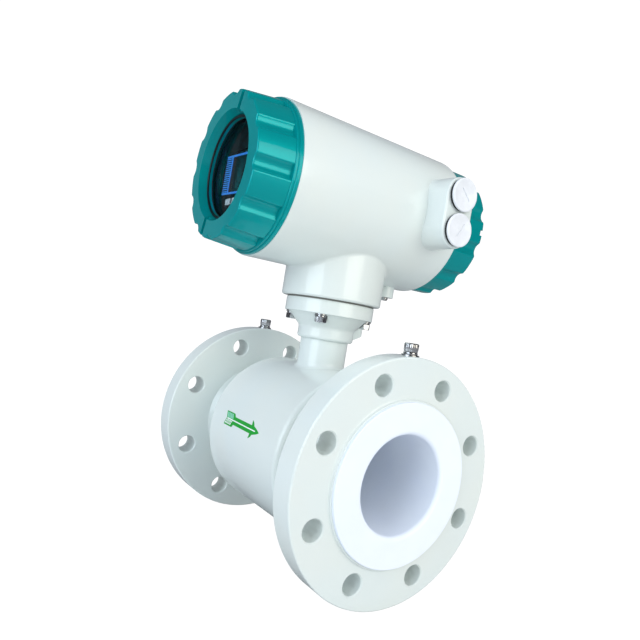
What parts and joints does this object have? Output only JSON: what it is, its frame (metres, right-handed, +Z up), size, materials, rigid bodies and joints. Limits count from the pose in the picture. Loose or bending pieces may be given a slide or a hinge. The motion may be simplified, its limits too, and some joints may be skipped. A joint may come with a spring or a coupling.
{
  "type": "electromagnetic flow meter",
  "caption": "Flanged electromagnetic flow meter: lined pipe section with a drum coil housing and a round converter head with screw-on lobed covers and a display window.",
  "frame": {"origin": "middle of the pipe section on the axis of the flow bore", "axes": "+X along the pipe with the flow, +Z up to the converter head, display towards -Y"},
  "size_m": [0.3, 0.2791, 0.4401],
  "materials": {
    "cream_paint": "glossy powder coat",
    "teal_paint": "glossy powder coat",
    "liner_white": "smooth fluoroplastic",
    "stainless": "turned stainless steel",
    "insulator": "moulded",
    "coil_wire": "enamelled copper wire",
    "magnet_iron": "bare iron",
    "seal_rubber": "moulded rubber",
    "potting": "cast resin with tinned pins",
    "window_glass": "toughened glass",
    "retainer_black": "black anodised",
    "bezel_black": "fine texture",
    "panel_dark": "unlit display",
    "key_white": "moulded",
    "board_green": "solder mask",
    "chip_black": "moulded",
    "capacitor_can": "drawn can",
    "pillar_brass": "nickel plated",
    "screw_chrome": "zinc plated",
    "terminal_green": "moulded",
    "plug_white": "moulded"
  },
  "bodies": {
    "meter": {"bezel_screws": "screw_chrome", "board_chips": "chip_black", "capacitors": "capacitor_can", "coil_housing": "cream_paint", "converter_housing": "cream_paint", "display_bezel": "bezel_black", "display_board": "board_green", "display_panel": "panel_dark", "earth_screws": "stainless", "earth_spring_washers": "stainless", "earth_washers": "stainless", "electrode_bushes": "stainless", "electrode_insulators": "insulator", "electrode_nuts": "stainless", "electrodes": "stainless", "feedthrough": "potting", "front_pillars": "pillar_brass", "housing_earth_screw": "stainless", "inlet_flange": "cream_paint", "key_switches": "chip_black", "liner": "liner_white", "lower_coil": "coil_wire", "lower_pole": "magnet_iron", "magnet_yoke": "magnet_iron", "main_board": "board_green", "measuring_tube": "cream_paint", "middle_pillars": "pillar_brass", "neck_flange": "cream_paint", "neck_flat_washers": "stainless", "neck_gasket": "seal_rubber", "neck_screws": "stainless", "neck_spring_washers": "stainless", "outlet_flange": "cream_paint", "power_board": "board_green", "rear_pillars": "pillar_brass", "terminal_block": "terminal_green", "terminal_screws": "screw_chrome", "transformer": "chip_black", "upper_coil": "coil_wire", "upper_pole": "magnet_iron"},
    "front_cover_slide": {"front_seal": "seal_rubber"},
    "front_cover": {"front_cover": "teal_paint", "window_gasket": "seal_rubber", "window_glass": "window_glass", "glass_retainer": "retainer_black"},
    "rear_cover_slide": {"rear_seal": "seal_rubber"},
    "rear_cover": {"rear_cover": "teal_paint"},
    "upper_plug_slide": {"upper_plug_seal": "seal_rubber"},
    "upper_plug": {"upper_plug": "plug_white"},
    "lower_plug_slide": {"lower_plug_seal": "seal_rubber"},
    "lower_plug": {"lower_plug": "plug_white"},
    "menu_key": {"menu_key": "key_white"},
    "up_key": {"up_key": "key_white"},
    "down_key": {"down_key": "key_white"},
    "enter_key": {"enter_key": "key_white"}
  },
  "joints": [
    {"name": "front_cover_travel", "type": "slide", "parent": "meter", "child": "front_cover_slide", "axis": [0, -1, 0], "range_m": [0, 0.008]},
    {"name": "front_cover_turn", "type": "hinge", "parent": "front_cover_slide", "child": "front_cover", "pos_m": [0, -0.1031, 0.2543], "axis": [0, -1, 0], "range_deg": [0, 1440]},
    {"name": "rear_cover_travel", "type": "slide", "parent": "meter", "child": "rear_cover_slide", "axis": [0, 1, 0], "range_m": [0, 0.008]},
    {"name": "rear_cover_turn", "type": "hinge", "parent": "rear_cover_slide", "child": "rear_cover", "pos_m": [0, 0.0968, 0.2543], "axis": [0, 1, 0], "range_deg": [0, 1440]},
    {"name": "upper_plug_travel", "type": "slide", "parent": "meter", "child": "upper_plug_slide", "axis": [1, 0, 0], "range_m": [0, 0.009]},
    {"name": "upper_plug_turn", "type": "hinge", "parent": "upper_plug_slide", "child": "upper_plug", "pos_m": [0.1, 0.0645, 0.2717], "axis": [1, 0, 0], "range_deg": [0, 2160]},
    {"name": "lower_plug_travel", "type": "slide", "parent": "meter", "child": "lower_plug_slide", "axis": [1, 0, 0], "range_m": [0, 0.009]},
    {"name": "lower_plug_turn", "type": "hinge", "parent": "lower_plug_slide", "child": "lower_plug", "pos_m": [0.1, 0.0645, 0.2369], "axis": [1, 0, 0], "range_deg": [0, 2160]},
    {"name": "menu_key_press", "type": "slide", "parent": "meter", "child": "menu_key", "axis": [0, 1, 0], "range_m": [0, 0.0008], "stiffness_N_per_m": 1500, "springref_m": -0.0004},
    {"name": "up_key_press", "type": "slide", "parent": "meter", "child": "up_key", "axis": [0, 1, 0], "range_m": [0, 0.0008], "stiffness_N_per_m": 1500, "springref_m": -0.0004},
    {"name": "down_key_press", "type": "slide", "parent": "meter", "child": "down_key", "axis": [0, 1, 0], "range_m": [0, 0.0008], "stiffness_N_per_m": 1500, "springref_m": -0.0004},
    {"name": "enter_key_press", "type": "slide", "parent": "meter", "child": "enter_key", "axis": [0, 1, 0], "range_m": [0, 0.0008], "stiffness_N_per_m": 1500, "springref_m": -0.0004}
  ],
  "couplings": [
    {"joint": "front_cover_travel", "follows": "front_cover_turn", "m_per_rad": 0.0003183},
    {"joint": "rear_cover_travel", "follows": "rear_cover_turn", "m_per_rad": 0.0003183},
    {"joint": "upper_plug_travel", "follows": "upper_plug_turn", "m_per_rad": 0.00023873},
    {"joint": "lower_plug_travel", "follows": "lower_plug_turn", "m_per_rad": 0.00023873}
  ]
}
